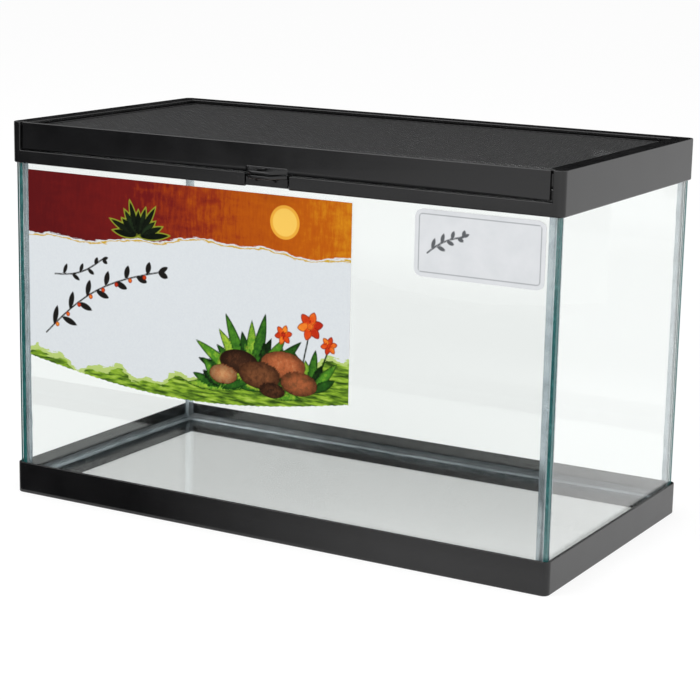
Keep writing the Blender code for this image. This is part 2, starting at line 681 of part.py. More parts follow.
def build_lid_keys():
    """Keys pushed into the hollow rails: two L-shaped at the rear, two straight at the front."""
    low, high = key_span()
    bottom = LID_BOTTOM + LID_WALL + KEY_CLEARANCE
    top = LID_TOP - LID_WALL - KEY_CLEARANCE
    bend = [(low, low), (KEY_LEG, low), (KEY_LEG, high), (high, high), (high, KEY_LEG), (low, KEY_LEG)]
    bar = [(low, 0.0), (high, 0.0), (high, 1.0), (low, 1.0)]
    bar_front = BEAM_BACK - KEY_SOCKET + KEY_CLEARANCE
    bar_back = BEAM_BACK + KEY_LEG
    keys = []
    for side, word in ((-1, "left"), (1, "right")):
        rear = [(side * (LID_HALF_WIDTH - a), LID_BACK - b) for a, b in bend]
        keys.append(extrude_outline(f"corner_key_rear_{word}", rear, bottom, top))
        front = [(side * (LID_HALF_WIDTH - a), bar_front + (bar_back - bar_front) * b) for a, b in bar]
        keys.append(extrude_outline(f"corner_key_front_{word}", front, bottom, top))
    return keys


def build_screen():
    """The flat metal screen: crossing bars between the rails, and a hem that lies on their lands."""
    half_x = LID_HALF_WIDTH - LID_RAIL_WIDTH
    front_y = BEAM_BACK
    back_y = LID_BACK - LID_RAIL_WIDTH
    middle_y = (front_y + back_y) / 2
    half_y = (back_y - front_y) / 2
    bm = bmesh.new()
    bmesh.ops.create_grid(bm, x_segments=SCREEN_COLUMNS, y_segments=SCREEN_ROWS, size=1.0)
    bmesh.ops.scale(bm, vec=Vector((half_x, half_y, 1.0)), verts=bm.verts)
    holes = list(bm.faces)
    bmesh.ops.inset_individual(bm, faces=holes, thickness=SCREEN_BAR / 2)
    rim = [edge for edge in bm.edges if edge.is_boundary]
    hem = bmesh.ops.extrude_edge_only(bm, edges=rim)
    for vert in [item for item in hem["geom"] if isinstance(item, bmesh.types.BMVert)]:
        if abs(vert.co.x) > half_x - FIT_GAP:
            vert.co.x += math.copysign(SPLINE_LAND - FIT_GAP, vert.co.x)
        if abs(vert.co.y) > half_y - FIT_GAP:
            vert.co.y += math.copysign(SPLINE_LAND - FIT_GAP, vert.co.y)
    bmesh.ops.delete(bm, geom=holes, context="FACES")
    thick = bmesh.ops.extrude_face_region(bm, geom=list(bm.faces))
    raised = [item for item in thick["geom"] if isinstance(item, bmesh.types.BMVert)]
    bmesh.ops.translate(bm, verts=raised, vec=Vector((0.0, 0.0, SCREEN_THICKNESS)))
    bmesh.ops.translate(bm, verts=bm.verts, vec=Vector((0.0, middle_y, LID_TOP - SCREEN_THICKNESS)))
    return object_from_bmesh("screen_mesh", bm)


def build_splines():
    """Four soft cords in the grooves, which hold the screen's hem."""
    centre_z = LID_TOP - SPLINE_DEPTH + SPLINE_CLEARANCE + SPLINE_RADIUS
    middle = (GROOVE_INNER + GROOVE_OUTER) / 2
    front_y = FRONT + FASCIA_THICKNESS + middle
    back_y = LID_BACK - middle
    side_x = LID_HALF_WIDTH - middle
    long_half = side_x + SPLINE_RADIUS
    short_end = SPLINE_RADIUS + SPLINE_CLEARANCE
    splines = []
    for y, word in ((front_y, "front"), (back_y, "rear")):
        section = circle(SPLINE_RADIUS, SPLINE_SIDES, (y, centre_z))
        splines.append(extrude_outline(f"spline_{word}", section, -long_half, long_half, axis="X"))
    start = front_y + short_end
    end = back_y - short_end
    for x, word in ((-side_x, "left"), (side_x, "right")):
        section = circle(SPLINE_RADIUS, SPLINE_SIDES, (x, centre_z))
        splines.append(extrude_outline(f"spline_{word}", section, start, end, axis="Y"))
    return splines


def build_label():
    """The printed label on the front pane, with one slow curve in its lower edge."""
    top = FRONT_RAIL_BOTTOM - LABEL_DROP
    left = LABEL_CENTRE_X - LABEL_WIDTH / 2
    outline = [(left + LABEL_WIDTH, top), (left, top)]
    for step in range(LABEL_STEPS + 1):
        share = step / LABEL_STEPS
        sag = LABEL_SAG * math.sin(math.pi * share)
        outline.append((left + LABEL_WIDTH * share, top - LABEL_HEIGHT - sag))
    return print_on_front("front_label", outline)


def build_sticker():
    """The plain size sticker to the right of the label."""
    middle = FRONT_RAIL_BOTTOM - STICKER_DROP - STICKER_HEIGHT / 2
    size = (STICKER_WIDTH, STICKER_HEIGHT, STICKER_CORNER, CORNER_STEPS)
    return print_on_front("size_sticker", rounded_rectangle(*size, (STICKER_CENTRE_X, middle)))


def print_on_front(name, outline):
    """A thin sheet on the outer face of the front pane."""
    back = FRONT + GLASS_INSET - FIT_GAP
    return extrude_outline(name, outline, back - LABEL_THICKNESS, back, axis="Y")


def make_pivot(name, location, parent):
    """An empty that carries what moves together."""
    pivot = bpy.data.objects.new(name, None)
    pivot.location = location
    pivot.parent = parent
    bpy.context.collection.objects.link(pivot)
    return pivot


def hang_on(target, material, pivot):
    """Finish a moving piece, with its own origin on the pivot."""
    target.data.transform(Matrix.Translation(-pivot.location))
    return finish(target, material, pivot)


def main():
    clear_scene()
    black_plastic = make_material("black_plastic", (0.012, 0.012, 0.013), 0.38)
    glass = make_material("clear_glass", (0.86, 0.94, 0.93), 0.02, transmission=1.0, alpha=0.35)
    silicone = make_material("clear_silicone", (0.55, 0.63, 0.66), 0.35, transmission=0.6)
    black_metal = make_material("black_coated_aluminium", (0.018, 0.018, 0.019), 0.45, metallic=0.6)
    screen_metal = make_material("black_coated_screen", (0.020, 0.020, 0.021), 0.50, metallic=0.5)
    nylon = make_material("nylon_key", (0.030, 0.030, 0.030), 0.60)
    rubber = make_material("rubber_spline", (0.015, 0.015, 0.015), 0.80)
    card = make_material("printed_card", (0.85, 0.84, 0.80), 0.45)
    pale_card = make_material("pale_sticker", (0.62, 0.64, 0.66), 0.50)
    round_shading = math.radians(40)

    root = bpy.data.objects.new("terrarium", None)
    root.location = (0.0, PLATE_REACH / 2, 0.0)
    bpy.context.collection.objects.link(root)
    finish(build_base_frame(), black_plastic, root, round_shading)
    finish(build_bed("base_frame_bed", LEDGE_TOP + FIT_GAP), silicone, root)
    for pane in build_glass():
        finish(pane, glass, root)
    for seal in build_seals():
        finish(seal, silicone, root, round_shading)
    finish(build_bed("top_frame_bed", GLASS_TOP + FIT_GAP), silicone, root)
    finish(build_top_frame(), black_plastic, root, round_shading)
    finish(build_label(), card, root)
    finish(build_sticker(), pale_card, root)

    catch_pivot = make_pivot("catch_pivot", (0.0, CATCH_PIVOT_Y, CATCH_PIVOT_Z), root)
    hang_on(build_catch(), black_plastic, catch_pivot)

    lid_slide = make_pivot("lid_slide", (0.0, FRONT, SHELF_TOP), root)
    hang_on(build_lid_front_rail(), black_plastic, lid_slide)
    for rail in build_lid_rails():
        hang_on(rail, black_metal, lid_slide)
    for key in build_lid_keys():
        hang_on(key, nylon, lid_slide)
    hang_on(build_screen(), screen_metal, lid_slide)
    for spline in build_splines():
        hang_on(spline, rubber, lid_slide)


main()
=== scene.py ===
import math

import bpy
from mathutils import Matrix, Vector


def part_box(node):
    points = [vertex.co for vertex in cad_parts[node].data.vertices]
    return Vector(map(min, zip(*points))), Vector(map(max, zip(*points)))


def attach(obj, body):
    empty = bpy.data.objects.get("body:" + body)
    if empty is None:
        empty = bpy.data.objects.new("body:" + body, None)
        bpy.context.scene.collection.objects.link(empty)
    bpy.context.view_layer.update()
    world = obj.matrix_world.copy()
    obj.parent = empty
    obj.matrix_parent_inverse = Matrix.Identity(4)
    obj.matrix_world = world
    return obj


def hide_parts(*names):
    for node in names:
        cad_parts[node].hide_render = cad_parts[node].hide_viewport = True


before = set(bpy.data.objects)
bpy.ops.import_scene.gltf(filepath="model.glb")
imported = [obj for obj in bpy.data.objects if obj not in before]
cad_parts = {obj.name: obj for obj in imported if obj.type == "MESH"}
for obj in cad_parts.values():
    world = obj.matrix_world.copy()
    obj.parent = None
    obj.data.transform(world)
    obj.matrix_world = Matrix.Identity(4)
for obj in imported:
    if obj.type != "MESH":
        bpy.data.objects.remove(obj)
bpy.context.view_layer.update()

MM = 0.001
# Points closer than this count as one.
TINY = 0.001 * MM
# The turn that lays an upright thing along X, or along Y.
ALONG_X = (0.0, math.pi / 2, 0.0)
ALONG_Y = (math.pi / 2, 0.0, 0.0)
# The sockets of a mix node that take two colours and give out their mix.
COLOUR_A, COLOUR_B, COLOUR_OUT = 6, 7, 2


# Colour, nodes and materials


def srgb(code):
    """A colour written as on a screen, such as "#1b2c3d", turned to linear red, green and blue, with
    a last 1 for solid."""
    channels = [int(code[place:place + 2], 16) / 255 for place in (1, 3, 5)]
    linear = [c / 12.92 if c <= 0.04045 else ((c + 0.055) / 1.055) ** 2.4 for c in channels]
    return (*linear, 1.0)


def set_up(node, settings):
    """Each setting is one of the node's own choices, the value of an input, or the socket that feeds
    it. Stops are the places and colours of a colour ramp."""
    for name, value in settings.items():
        if name == "stops":
            while len(node.color_ramp.elements) < len(value):
                node.color_ramp.elements.new(1.0)
            for element, (place, colour) in zip(node.color_ramp.elements, value):
                element.position = place
                element.color = srgb(colour)
        elif isinstance(name, str) and hasattr(node, name):
            setattr(node, name, value)
        elif isinstance(value, bpy.types.NodeSocket):
            node.id_data.links.new(value, node.inputs[name])
        else:
            node.inputs[name].default_value = value


def add(tree, kind, settings, out=0):
    """Adds a shader node with its settings and links, and returns one of its outputs."""
    node = tree.nodes.new("ShaderNode" + kind)
    set_up(node, settings)
    return node.outputs[out]


def new_material(name):
    """A material of one Principled shader. Returns it with its node tree and that shader."""
    material = bpy.data.materials.new(name)
    material.use_nodes = True
    return material, material.node_tree, material.node_tree.nodes["Principled BSDF"]


def moulded_polystyrene(name, smoothest):
    """Black high-impact polystyrene from a finely sparked tool: flow clouds 25 mm wide in its sheen,
    and a grain of half a millimetre. The real grain is a tenth of that, too fine to show."""
    material, tree, shader = new_material(name)
    place = add(tree, "TexCoord", {}, "Object")
    clouds = add(tree, "TexNoise", {"Vector": place, "Scale": 40.0, "Detail": 3.0})
    grain = add(tree, "TexNoise", {"Vector": place, "Scale": 2000.0, "Detail": 2.0})
    set_up(shader, {
        "IOR": 1.5,
        "Base Color": add(tree, "ValToRGB", {"Fac": clouds, "stops": [(0.3, "#111112"), (0.7, "#171718")]}),
        "Roughness": add(tree, "MapRange", {"Value": clouds, "From Min": 0.3, "From Max": 0.7,
                                            "To Min": smoothest, "To Max": smoothest + 0.06}),
        "Normal": add(tree, "Bump", {"Height": grain, "Strength": 0.12, "Distance": 0.05 * MM})})
    return material


def black_coated_aluminium():
    """Roll-formed aluminium under baked black enamel: glossier than the plastic, with the orange
    peel of sprayed paint, about a millimetre across."""
    material, tree, shader = new_material("black_coated_aluminium")
    place = add(tree, "TexCoord", {}, "Object")
    peel = add(tree, "TexNoise", {"Vector": place, "Scale": 1000.0, "Detail": 1.0})
    tone = add(tree, "TexNoise", {"Vector": place, "Scale": 60.0, "Detail": 2.0})
    set_up(shader, {
        "IOR": 1.5, "Roughness": 0.3,
        "Base Color": add(tree, "ValToRGB", {"Fac": tone, "stops": [(0.3, "#131314"), (0.7, "#1a1a1b")]}),
        "Normal": add(tree, "Bump", {"Height": peel, "Strength": 0.2, "Distance": 0.05 * MM})})
    return material


def black_coated_wire():
    """Drawn steel wire with a thin black coat, which is worn paler and shinier in spots."""
    material, tree, shader = new_material("black_coated_wire")
    place = add(tree, "TexCoord", {}, "Object")
    wear = add(tree, "TexNoise", {"Vector": place, "Scale": 700.0, "Detail": 3.0})
    set_up(shader, {
        "IOR": 1.5, "Metallic": 0.3,
        "Base Color": add(tree, "ValToRGB", {"Fac": wear, "stops": [(0.35, "#101011"), (0.75, "#2a2a2b")]}),
        "Roughness": add(tree, "MapRange", {"Value": wear, "To Min": 0.5, "To Max": 0.34})})
    return material


def ribbed_rubber_cord():
    """Extruded spline of soft rubber: a dull dark grey with ribs 1.5 mm apart, which bite the screen."""
    material, tree, shader = new_material("ribbed_rubber_cord")
    place = add(tree, "TexCoord", {}, "Object")
    ribs = add(tree, "TexWave", {"Vector": place, "bands_direction": "DIAGONAL", "Scale": 420.0})
    dust = add(tree, "TexNoise", {"Vector": place, "Scale": 500.0, "Detail": 3.0})
    set_up(shader, {
        "IOR": 1.5, "Roughness": 0.62,
        "Base Color": add(tree, "ValToRGB", {"Fac": dust, "stops": [(0.3, "#1b1b1b"), (0.8, "#303030")]}),
        "Normal": add(tree, "Bump", {"Height": ribs, "Strength": 0.6, "Distance": 0.2 * MM})})
    return material


def glass_filled_nylon():
    """Glass-filled nylon keys: a dull black-grey with short pale fibres at the surface."""
    material, tree, shader = new_material("glass_filled_nylon")
    place = add(tree, "TexCoord", {}, "Object")
    fibres = add(tree, "TexNoise", {"Vector": place, "Scale": 1500.0, "Detail": 4.0})
    set_up(shader, {
        "IOR": 1.53, "Roughness": 0.55,
        "Base Color": add(tree, "ValToRGB", {"Fac": fibres, "stops": [(0.4, "#1c1c1d"), (0.8, "#3a3a3b")]}),
        "Normal": add(tree, "Bump", {"Height": fibres, "Strength": 0.2, "Distance": 0.1 * MM})})
    return material


def let_lamps_through(tree, shader, share):
    """Lets a share of the lamps' light straight through each surface, to what is behind it."""
    lamp_ray = add(tree, "LightPath", {}, "Is Shadow Ray")
    clear = add(tree, "BsdfTransparent", {"Color": (share, share, share, 1.0)})
    surface = add(tree, "MixShader", {0: lamp_ray, 1: shader.outputs["BSDF"], 2: clear})
    set_up(tree.nodes["Material Output"], {"Surface": surface})


def float_glass():
    """Soda-lime float glass, fire polished: as good as colourless through its 3 mm, and dead flat."""
    material, tree, shader = new_material("clear_float_glass")
    set_up(shader, {"Base Color": srgb("#fcfefd"), "IOR": 1.52, "Roughness": 0.0,
                    "Transmission Weight": 1.0})
    let_lamps_through(tree, shader, 0.92)
    return material


def ground_glass_edge():
    """The ground edge of float glass. Iron in the melt shows as a deep sea green along the sheet,
    and the belt leaves a silky frost with pale streaks in it."""
    material, tree, shader = new_material("ground_glass_edge")
    place = add(tree, "TexCoord", {}, "Object")
    streaks = add(tree, "TexNoise", {"Vector": place, "Scale": 300.0, "Detail": 4.0})
    set_up(shader, {
        "IOR": 1.52, "Roughness": 0.3, "Transmission Weight": 0.05,
        "Base Color": add(tree, "ValToRGB", {"Fac": streaks, "stops": [
            (0.3, "#1a5a5c"), (0.55, "#286a6a"), (0.8, "#4f8f8d")]}),
        "Normal": add(tree, "Bump", {"Height": streaks, "Strength": 0.3, "Distance": 0.1 * MM})})
    let_lamps_through(tree, shader, 0.6)
    return material


def clear_silicone(name, clearness):
    """Acetoxy silicone drawn smooth with a finger: milky clear, softly shiny, with ripples 8 mm long.
    A bed pressed thin between glass and plastic is clearer than a bead."""
    material, tree, shader = new_material(name)
    place = add(tree, "TexCoord", {}, "Object")
    ripple = add(tree, "TexNoise", {"Vector": place, "Scale": 120.0, "Detail": 1.0})
    set_up(shader, {
        "IOR": 1.41, "Roughness": 0.22, "Transmission Weight": clearness,
        "Base Color": add(tree, "ValToRGB", {"Fac": ripple, "stops": [(0.3, "#adb8be"), (0.7, "#cad4d9")]}),
        "Normal": add(tree, "Bump", {"Height": ripple, "Strength": 0.25, "Distance": 0.3 * MM})})
    let_lamps_through(tree, shader, 0.8)
    return material


def lay_ink(tree, under, drawing, ink, spread=0.0, ragged=0.0):
    """Prints a colour over what is under it, inside a drawing grown by a spread in millimetres. A
    ragged edge wanders by so many millimetres, as that of a dry brush."""
    softness = 0.3
    outside = add(tree, "Attribute", {"attribute_name": drawing}, "Fac")
    if ragged:
        place = add(tree, "TexCoord", {}, "Object")
        drawn_out = add(tree, "Mapping", {"Vector": place, "Scale": (0.3, 1.0, 1.0)})
        bristles = add(tree, "TexNoise", {"Vector": drawn_out, "Scale": 420.0, "Detail": 4.0})
        outside = add(tree, "Math", {"operation": "MULTIPLY_ADD", 0: bristles, 1: ragged, 2: outside})
        spread += ragged / 2
    cover = add(tree, "MapRange", {
        "Value": outside, "From Min": spread + softness, "From Max": spread - softness})
    return add(tree, "Mix", {"data_type": "RGBA", 0: cover, COLOUR_A: under, COLOUR_B: ink}, COLOUR_OUT)


def layered_shade(tree, drawing, stops, rim):
    """The colour of each shape in a drawing, mottled, and darker along its rim for so many
    millimetres."""
    unevenness = 0.9
    rim_light = 0.35
    place = add(tree, "TexCoord", {}, "Object")
    shade = add(tree, "Attribute", {"attribute_name": drawing + "_shade"}, "Fac")
    inside = add(tree, "Attribute", {"attribute_name": drawing + "_inside"}, "Fac")
    mottle = add(tree, "TexNoise", {"Vector": place, "Scale": 260.0, "Detail": 5.0, "Roughness": 0.7})
    varied = add(tree, "Math", {"operation": "MULTIPLY_ADD", 0: mottle, 1: unevenness, 2: shade})
    centred = add(tree, "Math", {"operation": "SUBTRACT", 0: varied, 1: unevenness / 2})
    colour = add(tree, "ValToRGB", {"Fac": centred, "stops": stops})
    light = add(tree, "MapRange", {"Value": inside, "From Max": rim, "To Min": rim_light, "To Max": 1.0})
    grey = add(tree, "CombineColor", {0: light, 1: light, 2: light})
    return add(tree, "Mix", {"data_type": "RGBA", "blend_type": "MULTIPLY", 0: 1.0,
                             COLOUR_A: colour, COLOUR_B: grey}, COLOUR_OUT)


def printed_label():
    """Offset print on coated paper, under a dull varnish. The inks are a dusk sky from maroon to
    orange with a brushed edge, a yellow sun, black and green leaves, orange petals and berries, warm
    stones and turf. The sky is mottled as by a sponge, 4 mm wide. The printing screen is too fine to
    show, and the paper's fibres are drawn coarser than they are, or they wouldn't show either."""
    material, tree, shader = new_material("printed_label")
    low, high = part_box("front_label")
    turf_ragged, sky_ragged = 9.0, 5.0
    place = add(tree, "TexCoord", {}, "Object")
    fibre = add(tree, "TexNoise", {"Vector": place, "Scale": 800.0, "Detail": 3.0})
    paper = add(tree, "ValToRGB", {"Fac": fibre, "stops": [(0.3, "#d6dbdf"), (0.7, "#dadfe2")]})
    sponge = add(tree, "TexNoise", {"Vector": place, "Scale": 230.0, "Detail": 6.0, "Roughness": 0.7})
    level = add(tree, "Mapping", {"Vector": place, "Scale": (1.0, 1.0, 2.2)})
    clouds = add(tree, "TexNoise", {"Vector": level, "Scale": 60.0, "Detail": 4.0, "Distortion": 0.6})
    steep = add(tree, "Mapping", {
        "Vector": place, "Rotation": (0.0, 0.5, 0.0), "Scale": (1.0, 1.0, 0.2)})
    strokes = add(tree, "TexNoise", {"Vector": steep, "Scale": 520.0, "Detail": 2.0})
    across = add(tree, "SeparateXYZ", {0: place}, "X")
    sky_place = add(tree, "MapRange", {
        "Value": across, "From Min": low.x, "From Max": high.x, "To Min": -0.16, "To Max": 0.56})
    for pattern, share in ((sponge, 0.2), (clouds, 0.26), (strokes, 0.22)):
        sky_place = add(tree, "Math", {"operation": "MULTIPLY_ADD", 0: pattern, 1: share, 2: sky_place})
    sky = add(tree, "ValToRGB", {"Fac": sky_place, "stops": [
        (0.2, "#5c0f12"), (0.44, "#701513"), (0.56, "#93300e"), (0.66, "#ad4c06"), (0.82, "#bb5b05"),
        (0.96, "#d08412")]})
    sloping = add(tree, "Mapping", {
        "Vector": place, "Rotation": (0.0, 0.4, 0.0), "Scale": (0.3, 1.0, 1.6)})
    blades = add(tree, "TexNoise", {"Vector": sloping, "Scale": 300.0, "Detail": 4.0})
    grass = add(tree, "ValToRGB", {"Fac": blades, "stops": [
        (0.34, "#2f4a12"), (0.46, "#5c8023"), (0.56, "#86ab2d"), (0.7, "#a9c653")]})
    colour = lay_ink(tree, paper, "turf", srgb("#b4ca74"), 0.0, turf_ragged)
    colour = lay_ink(tree, colour, "turf", grass, -3.0, turf_ragged)
    colour = lay_ink(tree, colour, "sky", srgb("#c9a227"), 1.9, sky_ragged)
    colour = lay_ink(tree, colour, "sky", paper, 1.0, sky_ragged)
    colour = lay_ink(tree, colour, "sky", sky, 0.0, sky_ragged)
    colour = lay_ink(tree, colour, "sun", srgb("#e9a93a"))
    colour = lay_ink(tree, colour, "sun", srgb("#f4c65c"), -2.0)
    colour = lay_ink(tree, colour, "agave", srgb("#8f9a2c"), 0.7)
    colour = lay_ink(tree, colour, "agave", layered_shade(
        tree, "agave", [(0.0, "#0c130b"), (0.6, "#141c10"), (1.0, "#20301a")], 0.9))
    colour = lay_ink(tree, colour, "branch", srgb("#1d1b19"))
    colour = lay_ink(tree, colour, "foliage", layered_shade(
        tree, "foliage", [(0.0, "#12260d"), (0.35, "#275a1a"), (0.7, "#4f8d24"), (1.0, "#a6c63e")], 1.6))
    colour = lay_ink(tree, colour, "stones", layered_shade(
        tree, "stones", [(0.0, "#3c2417"), (0.35, "#7a4a2c"), (0.65, "#b5623a"), (1.0, "#c79a68")], 5.0))
    colour = lay_ink(tree, colour, "blossom", layered_shade(
        tree, "blossom", [(0.0, "#b5260f"), (0.5, "#dc4a14"), (1.0, "#f08c2c")], 1.0))
    set_up(shader, {
        "IOR": 1.5, "Roughness": 0.45, "Specular IOR Level": 0.08, "Base Color": colour,
        "Normal": add(tree, "Bump", {"Height": fibre, "Strength": 0.04, "Distance": 0.05 * MM})})
    return material


def label_paper():
    """The bare back and cut edges of coated paper: off-white, dull, with fibres 2 mm long."""
    material, tree, shader = new_material("label_paper")
    place = add(tree, "TexCoord", {}, "Object")
    fibre = add(tree, "TexNoise", {"Vector": place, "Scale": 500.0, "Detail": 5.0})
    set_up(shader, {
        "Roughness": 0.7, "Base Color": add(tree, "ValToRGB", {
            "Fac": fibre, "stops": [(0.3, "#f2f0eb"), (0.7, "#faf9f6")]})})
    return material


def pale_vinyl():
    """Pale grey vinyl film, slightly cloudy, with a grey line and a grey sprig printed on it."""
    material, tree, shader = new_material("pale_vinyl")
    place = add(tree, "TexCoord", {}, "Object")
    cloud = add(tree, "TexNoise", {"Vector": place, "Scale": 90.0, "Detail": 4.0})
    film = add(tree, "ValToRGB", {"Fac": cloud, "stops": [(0.3, "#d6d9dc"), (0.7, "#dddfe2")]})
    colour = lay_ink(tree, film, "border", srgb("#9a9da1"))
    colour = lay_ink(tree, colour, "sprig", srgb("#55585c"))
    set_up(shader, {
        "IOR": 1.5, "Roughness": 0.28, "Base Color": colour,
        "Normal": add(tree, "Bump", {"Height": cloud, "Strength": 0.15, "Distance": 0.2 * MM})})
    return material


# Camera, floor and light


def place_camera():
    """A long lens from the right of the front and a little above. Its length is counted in pixels of
    the square picture, its place in metres and its turns in radians."""
    frame_pixels = 700.0
    lens_pixels = 2053.8
    place = (0.6900, -1.19785, 0.4191)
    yaw, pitch, roll = -0.5190, 0.2198, -0.0202
    ahead = Vector((math.sin(yaw) * math.cos(pitch), math.cos(yaw) * math.cos(pitch), -math.sin(pitch)))
    right = Vector((math.cos(yaw), -math.sin(yaw), 0.0))
    up = right.cross(ahead)
    across = right * math.cos(roll) - up * math.sin(roll)
    upright = right * math.sin(roll) + up * math.cos(roll)
    data = bpy.data.cameras.new("camera")
    data.sensor_width = 36.0
    data.lens = lens_pixels / frame_pixels * data.sensor_width
    data.clip_end = 100.0
    camera = bpy.data.objects.new("camera", data)
    turn = Matrix((across, upright, -ahead)).transposed().to_4x4()
    camera.matrix_world = Matrix.Translation(place) @ turn
    bpy.context.scene.collection.objects.link(camera)
    bpy.context.scene.camera = camera


def surroundings_seen(tree):
    """1 for rays that show the surroundings: from the camera, off a gloss or through glass."""
    camera = add(tree, "LightPath", {}, "Is Camera Ray")
    gloss = add(tree, "LightPath", {}, "Is Glossy Ray")
    through = add(tree, "LightPath", {}, "Is Transmission Ray")
    either = add(tree, "Math", {"operation": "MAXIMUM", 0: camera, 1: gloss})
    return add(tree, "Math", {"operation": "MAXIMUM", 0: either, 1: through})


def white_world():
    """White wherever it is seen, and a level fill for the object."""
    fill, seen = 0.68, 1.0
    world = bpy.data.worlds.new("studio_white")
    world.use_nodes = True
    bpy.context.scene.world = world
    tree = world.node_tree
    set_up(tree.nodes["Background"], {
        "Color": (1.0, 1.0, 1.0, 1.0),
        "Strength": add(tree, "MapRange", {
            "Value": surroundings_seen(tree), "To Min": fill, "To Max": seen})})


def white_floor():
    """A matt white floor. Where it is seen it mixes in a white of its own, so that it runs into the
    background while the object's shadow stays on it."""
    own_white, own_share = 1.15, 0.7
    bpy.ops.mesh.primitive_plane_add(size=60.0)
    floor = bpy.context.object
    floor.name = "studio_floor"
    material, tree, shader = new_material("matt_white_floor")
    set_up(shader, {"Base Color": srgb("#e8e8e8"), "Roughness": 0.9, "Specular IOR Level": 0.0})
    white = add(tree, "Emission", {"Color": (1.0, 1.0, 1.0, 1.0), "Strength": own_white})
    share = add(tree, "Math", {"operation": "MULTIPLY", 0: surroundings_seen(tree), 1: own_share})
    set_up(tree.nodes["Material Output"], {
        "Surface": add(tree, "MixShader", {0: share, 1: shader.outputs["BSDF"], 2: white})})
    floor.data.materials.append(material)


def black_card(name, place, size, turn, *fades):
    """A card that is seen only by way of a gloss. Each fade is a direction, and how far along it the
    card is gone and how far it is solid."""
    bpy.ops.mesh.primitive_plane_add(size=1.0, location=place, rotation=turn)
    card = bpy.context.object
    card.name = name
    card.scale = (*size, 1.0)
    bpy.ops.object.transform_apply(location=True, rotation=True, scale=True)
    card.visible_camera = card.visible_diffuse = card.visible_shadow = False
    material, tree, shader = new_material(name)
    set_up(shader, {"Base Color": srgb("#0a0a0a"), "Roughness": 1.0, "Specular IOR Level": 0.0})
    point = add(tree, "TexCoord", {}, "Object")
    mirrorings = add(tree, "LightPath", {}, "Glossy Depth")
    cover = add(tree, "Math", {"operation": "MINIMUM", 0: mirrorings, 1: 1.0})
    for towards, gone, solid in fades:
        along = add(tree, "VectorMath", {"operation": "DOT_PRODUCT", 0: point, 1: towards}, "Value")
        there = add(tree, "MapRange", {"Value": along, "From Min": gone, "From Max": solid})
        cover = add(tree, "Math", {"operation": "MULTIPLY", 0: cover, 1: there})
    set_up(tree.nodes["Material Output"], {"Surface": add(tree, "MixShader", {
        0: cover, 1: add(tree, "BsdfTransparent", {}), 2: shader.outputs["BSDF"]})})
    card.data.materials.append(material)


def black_cards():
    """One card stands to the left of the front and one lies before it. The black mouldings mirror
    them, so that the front runs from near black on the left to the grey of a sheen on the right. Two
    more, before and behind, keep white veils off the glass."""
    flat = (0.0, 0.0, 0.0)
    facing_front = (math.pi / 2, 0.0, 0.0)
    facing_right = (math.pi / 2, 0.0, math.pi / 2)
    rightwards, backwards, upwards = (1.0, 0.0, 0.0), (0.0, 1.0, 0.0), (0.0, 0.0, 1.0)
    right_and_forwards = (1.0, -0.766, 0.0)
    black_card("studio_left_card", (-1.3, -1.2, 0.7), (3.6, 1.4), facing_right,
               (backwards, -2.95, -2.2), (backwards, 0.6, -0.4), (upwards, 1.4, 1.0))
    black_card("studio_near_card", (-0.5, -1.001, 0.002), (1.6, 1.798), flat,
               (right_and_forwards, 0.18, -0.02))
    black_card("studio_wide_card", (-0.35, -0.65, 0.001), (1.8, 1.04), flat,
               (backwards, -1.15, -0.85), (backwards, -0.14, -0.3), (rightwards, -1.25, -0.9),
               (rightwards, 0.55, 0.2))
    black_card("studio_rear_card", (-0.8, 1.2, 0.65), (2.6, 1.3), facing_front,
               (upwards, 1.3, 0.9), (rightwards, -2.1, -1.5), (rightwards, 0.5, 0.1))


def soft_box(name, place, size, power):
    """A large square lamp that faces the middle of the object."""
    middle = Vector((0.0, 0.0, 0.12))
    data = bpy.data.lights.new(name, "AREA")
    data.shape = "SQUARE"
    data.size = size
    data.energy = power
    lamp = bpy.data.objects.new(name, data)
    lamp.location = place
    lamp.rotation_euler = (middle - Vector(place)).to_track_quat("-Z", "Y").to_euler()
    bpy.context.scene.collection.objects.link(lamp)


def studio():
    """The camera, a white room without walls, black cards and three lamps."""
    bpy.context.scene.view_settings.view_transform = "Standard"
    place_camera()
    white_world()
    white_floor()
    black_cards()
    soft_box("key_light", (-1.5, -1.9, 2.4), 1.8, 32.0)
    soft_box("front_light", (0.9, -2.6, 1.4), 1.6, 16.0)
    soft_box("side_light", (2.4, 0.2, 1.8), 1.6, 12.0)


# Modelling helpers


def work_on(piece):
    """Makes a piece the only one that operators act on."""
    bpy.ops.object.select_all(action="DESELECT")
    piece.select_set(True)
    bpy.context.view_layer.objects.active = piece


def edit(piece, choose=None):
    """Enters edit mode with every face selected, or those for which choose(face) is true."""
    work_on(piece)
    bpy.ops.object.mode_set(mode="EDIT")
    bpy.ops.mesh.select_mode(type="FACE")
    bpy.ops.mesh.select_all(action="SELECT" if choose is None else "DESELECT")
    if choose is not None:
        bpy.ops.object.mode_set(mode="OBJECT")
        for face in piece.data.polygons:
            face.select = choose(face)
        bpy.ops.object.mode_set(mode="EDIT")


def leave():
    """Leaves edit mode, which also stores what was done in it."""
    bpy.ops.object.mode_set(mode="OBJECT")


def settle(piece, name, turn_smooth=None):
    """Names a piece, puts its place in its mesh, and smooths it where it turns by fewer degrees than
    an angle."""
    piece.name = name
    work_on(piece)
    bpy.ops.object.transform_apply(location=True, rotation=True, scale=True)
    if turn_smooth is not None:
        bpy.ops.object.shade_smooth_by_angle(angle=math.radians(turn_smooth))
    return piece


def fit(piece, material, body, *nodes):
    """Gives a piece its finish and its body, and hides the CAD solids that it stands for."""
    if material is not None:
        piece.data.materials.clear()
        piece.data.materials.append(material)
    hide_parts(*nodes)
    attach(piece, body)


